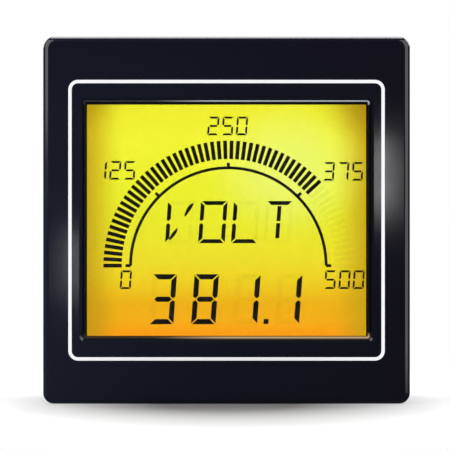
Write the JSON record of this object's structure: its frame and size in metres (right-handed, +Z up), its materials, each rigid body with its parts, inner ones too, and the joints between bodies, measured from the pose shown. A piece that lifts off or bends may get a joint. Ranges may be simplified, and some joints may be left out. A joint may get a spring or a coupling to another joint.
{
  "type": "digital panel voltmeter",
  "caption": "Square panel-mounted digital voltmeter with a backlit LCD, a ratchet retaining frame and pluggable screw terminals.",
  "frame": {"origin": "centre of the panel seat: the back face of the gasket, on the front surface of the panel", "axes": "+X right as read from the front, +Y from the reader through the panel to the rear, +Z up"},
  "size_m": [0.072, 0.064, 0.072],
  "materials": {
    "bezel_plastic": "semi-gloss moulded ABS, navy-black",
    "inlay_ink": "matt white filled line",
    "tape_foam": "matt adhesive foam",
    "lens_clear": "polished clear acrylic",
    "gasket_rubber": "matt closed-cell rubber",
    "polariser_film": "clear film",
    "lcd_glass": "polished float glass",
    "seal_epoxy": "cured epoxy",
    "zebra_rubber": "silicone with black carbon layers",
    "diffuser_film": "lit matt film, yellow to orange",
    "guide_acrylic": "printed clear acrylic",
    "lamp_resin": "phosphor resin in a white body",
    "holder_plastic": "white polycarbonate",
    "fibreglass": "green solder resist on glass-fibre laminate",
    "chip_epoxy": "moulded black epoxy",
    "zinc_steel": "zinc-plated steel",
    "connector_plastic": "black nylon",
    "plated_brass": "tin and gold plated brass",
    "ferrite": "ground ferrite",
    "coil_tape": "yellow polyester tape",
    "can_sleeve": "shrunk sleeve on an aluminium can",
    "resistor_coat": "lacquered ceramic with colour bands",
    "varistor_coat": "dipped blue epoxy",
    "relay_case": "moulded polyester",
    "case_plastic": "spark-eroded black ABS",
    "label_paper": "silver-grey polyester label",
    "key_plastic": "grey moulded plastic",
    "switch_body": "black moulded body with a steel dome",
    "terminal_plastic": "green polyamide",
    "clamp_steel": "nickel-plated steel",
    "frame_plastic": "black glass-filled nylon"
  },
  "bodies": {
    "meter": {"front_bezel": "bezel_plastic", "border_inlay": "inlay_ink", "lens_tape": "tape_foam", "window_lens": "lens_clear", "panel_gasket": "gasket_rubber", "lcd_front_polariser": "polariser_film", "lcd_front_glass": "lcd_glass", "lcd_seal": "seal_epoxy", "lcd_rear_glass": "lcd_glass", "lcd_rear_polariser": "polariser_film", "zebra_strips": "zebra_rubber", "backlight_diffuser": "diffuser_film", "light_guide": "guide_acrylic", "backlight_leds": "lamp_resin", "lcd_holder": "holder_plastic", "display_pcb": "fibreglass", "display_chips": "chip_epoxy", "display_screws": "zinc_steel", "power_pcb": "fibreglass", "link_socket": "connector_plastic", "link_pins": "plated_brass", "transformer_core": "ferrite", "transformer_coil": "coil_tape", "reservoir_capacitors": "can_sleeve", "input_resistors": "resistor_coat", "input_varistor": "varistor_coat", "output_relays": "relay_case", "case_body": "case_plastic", "rear_cover": "case_plastic", "cover_screws": "zinc_steel", "rating_label": "label_paper", "key_switches": "switch_body", "header_pins": "plated_brass", "upper_header": "terminal_plastic", "lower_header": "terminal_plastic"},
    "retaining_frame": {"retaining_frame": "frame_plastic", "lever_pins": "zinc_steel"},
    "left_lever": {"left_release_lever": "frame_plastic"},
    "right_lever": {"right_release_lever": "frame_plastic"},
    "set_key": {"set_key": "key_plastic"},
    "up_key": {"up_key": "key_plastic"},
    "down_key": {"down_key": "key_plastic"},
    "upper_plug": {"upper_plug": "terminal_plastic", "upper_plug_contacts": "plated_brass"},
    "lower_plug": {"lower_plug": "terminal_plastic", "lower_plug_contacts": "plated_brass"},
    "clamp_screw_1": {"terminal_screw_1": "clamp_steel"},
    "clamp_cage_1": {"terminal_cage_1": "clamp_steel"},
    "clamp_screw_2": {"terminal_screw_2": "clamp_steel"},
    "clamp_cage_2": {"terminal_cage_2": "clamp_steel"},
    "clamp_screw_3": {"terminal_screw_3": "clamp_steel"},
    "clamp_cage_3": {"terminal_cage_3": "clamp_steel"},
    "clamp_screw_4": {"terminal_screw_4": "clamp_steel"},
    "clamp_cage_4": {"terminal_cage_4": "clamp_steel"},
    "clamp_screw_5": {"terminal_screw_5": "clamp_steel"},
    "clamp_cage_5": {"terminal_cage_5": "clamp_steel"},
    "clamp_screw_6": {"terminal_screw_6": "clamp_steel"},
    "clamp_cage_6": {"terminal_cage_6": "clamp_steel"}
  },
  "joints": [
    {"name": "frame_slide", "type": "slide", "parent": "meter", "child": "retaining_frame", "axis": [0, 1, 0], "range_m": [0, 0.046]},
    {"name": "left_lever_lift", "type": "hinge", "parent": "retaining_frame", "child": "left_lever", "pos_m": [-0.0346, 0.0091, 0], "axis": [0, 0, 1], "range_deg": [0, 12], "stiffness_Nm_per_rad": 0.1},
    {"name": "right_lever_lift", "type": "hinge", "parent": "retaining_frame", "child": "right_lever", "pos_m": [0.0346, 0.0091, 0], "axis": [0, 0, -1], "range_deg": [0, 12], "stiffness_Nm_per_rad": 0.1},
    {"name": "set_key_press", "type": "slide", "parent": "meter", "child": "set_key", "axis": [0, -1, 0], "range_m": [0, 0.0005], "stiffness_N_per_m": 800},
    {"name": "up_key_press", "type": "slide", "parent": "meter", "child": "up_key", "axis": [0, -1, 0], "range_m": [0, 0.0005], "stiffness_N_per_m": 800},
    {"name": "down_key_press", "type": "slide", "parent": "meter", "child": "down_key", "axis": [0, -1, 0], "range_m": [0, 0.0005], "stiffness_N_per_m": 800},
    {"name": "upper_plug_pull", "type": "slide", "parent": "meter", "child": "upper_plug", "axis": [0, 1, 0], "range_m": [0, 0.014]},
    {"name": "lower_plug_pull", "type": "slide", "parent": "meter", "child": "lower_plug", "axis": [0, 1, 0], "range_m": [0, 0.014]},
    {"name": "terminal_screw_1_turn", "type": "hinge", "parent": "upper_plug", "child": "clamp_screw_1", "pos_m": [-0.00762, 0.0516, 0.0232], "axis": [0, 0, -1], "range_deg": [0, 1873]},
    {"name": "terminal_cage_1_rise", "type": "slide", "parent": "upper_plug", "child": "clamp_cage_1", "axis": [0, 0, 1], "range_m": [0, 0.0026]},
    {"name": "terminal_screw_2_turn", "type": "hinge", "parent": "upper_plug", "child": "clamp_screw_2", "pos_m": [-0.00254, 0.0516, 0.0232], "axis": [0, 0, -1], "range_deg": [0, 1873]},
    {"name": "terminal_cage_2_rise", "type": "slide", "parent": "upper_plug", "child": "clamp_cage_2", "axis": [0, 0, 1], "range_m": [0, 0.0026]},
    {"name": "terminal_screw_3_turn", "type": "hinge", "parent": "upper_plug", "child": "clamp_screw_3", "pos_m": [0.00254, 0.0516, 0.0232], "axis": [0, 0, -1], "range_deg": [0, 1873]},
    {"name": "terminal_cage_3_rise", "type": "slide", "parent": "upper_plug", "child": "clamp_cage_3", "axis": [0, 0, 1], "range_m": [0, 0.0026]},
    {"name": "terminal_screw_4_turn", "type": "hinge", "parent": "upper_plug", "child": "clamp_screw_4", "pos_m": [0.00762, 0.0516, 0.0232], "axis": [0, 0, -1], "range_deg": [0, 1873]},
    {"name": "terminal_cage_4_rise", "type": "slide", "parent": "upper_plug", "child": "clamp_cage_4", "axis": [0, 0, 1], "range_m": [0, 0.0026]},
    {"name": "terminal_screw_5_turn", "type": "hinge", "parent": "lower_plug", "child": "clamp_screw_5", "pos_m": [-0.00381, 0.0516, -0.0232], "axis": [0, 0, 1], "range_deg": [0, 1873]},
    {"name": "terminal_cage_5_rise", "type": "slide", "parent": "lower_plug", "child": "clamp_cage_5", "axis": [0, 0, -1], "range_m": [0, 0.0026]},
    {"name": "terminal_screw_6_turn", "type": "hinge", "parent": "lower_plug", "child": "clamp_screw_6", "pos_m": [0.00381, 0.0516, -0.0232], "axis": [0, 0, 1], "range_deg": [0, 1873]},
    {"name": "terminal_cage_6_rise", "type": "slide", "parent": "lower_plug", "child": "clamp_cage_6", "axis": [0, 0, -1], "range_m": [0, 0.0026]}
  ],
  "couplings": [
    {"joint": "terminal_screw_1_turn", "follows": "terminal_cage_1_rise", "rad_per_m": 12566},
    {"joint": "terminal_screw_2_turn", "follows": "terminal_cage_2_rise", "rad_per_m": 12566},
    {"joint": "terminal_screw_3_turn", "follows": "terminal_cage_3_rise", "rad_per_m": 12566},
    {"joint": "terminal_screw_4_turn", "follows": "terminal_cage_4_rise", "rad_per_m": 12566},
    {"joint": "terminal_screw_5_turn", "follows": "terminal_cage_5_rise", "rad_per_m": 12566},
    {"joint": "terminal_screw_6_turn", "follows": "terminal_cage_6_rise", "rad_per_m": 12566}
  ]
}
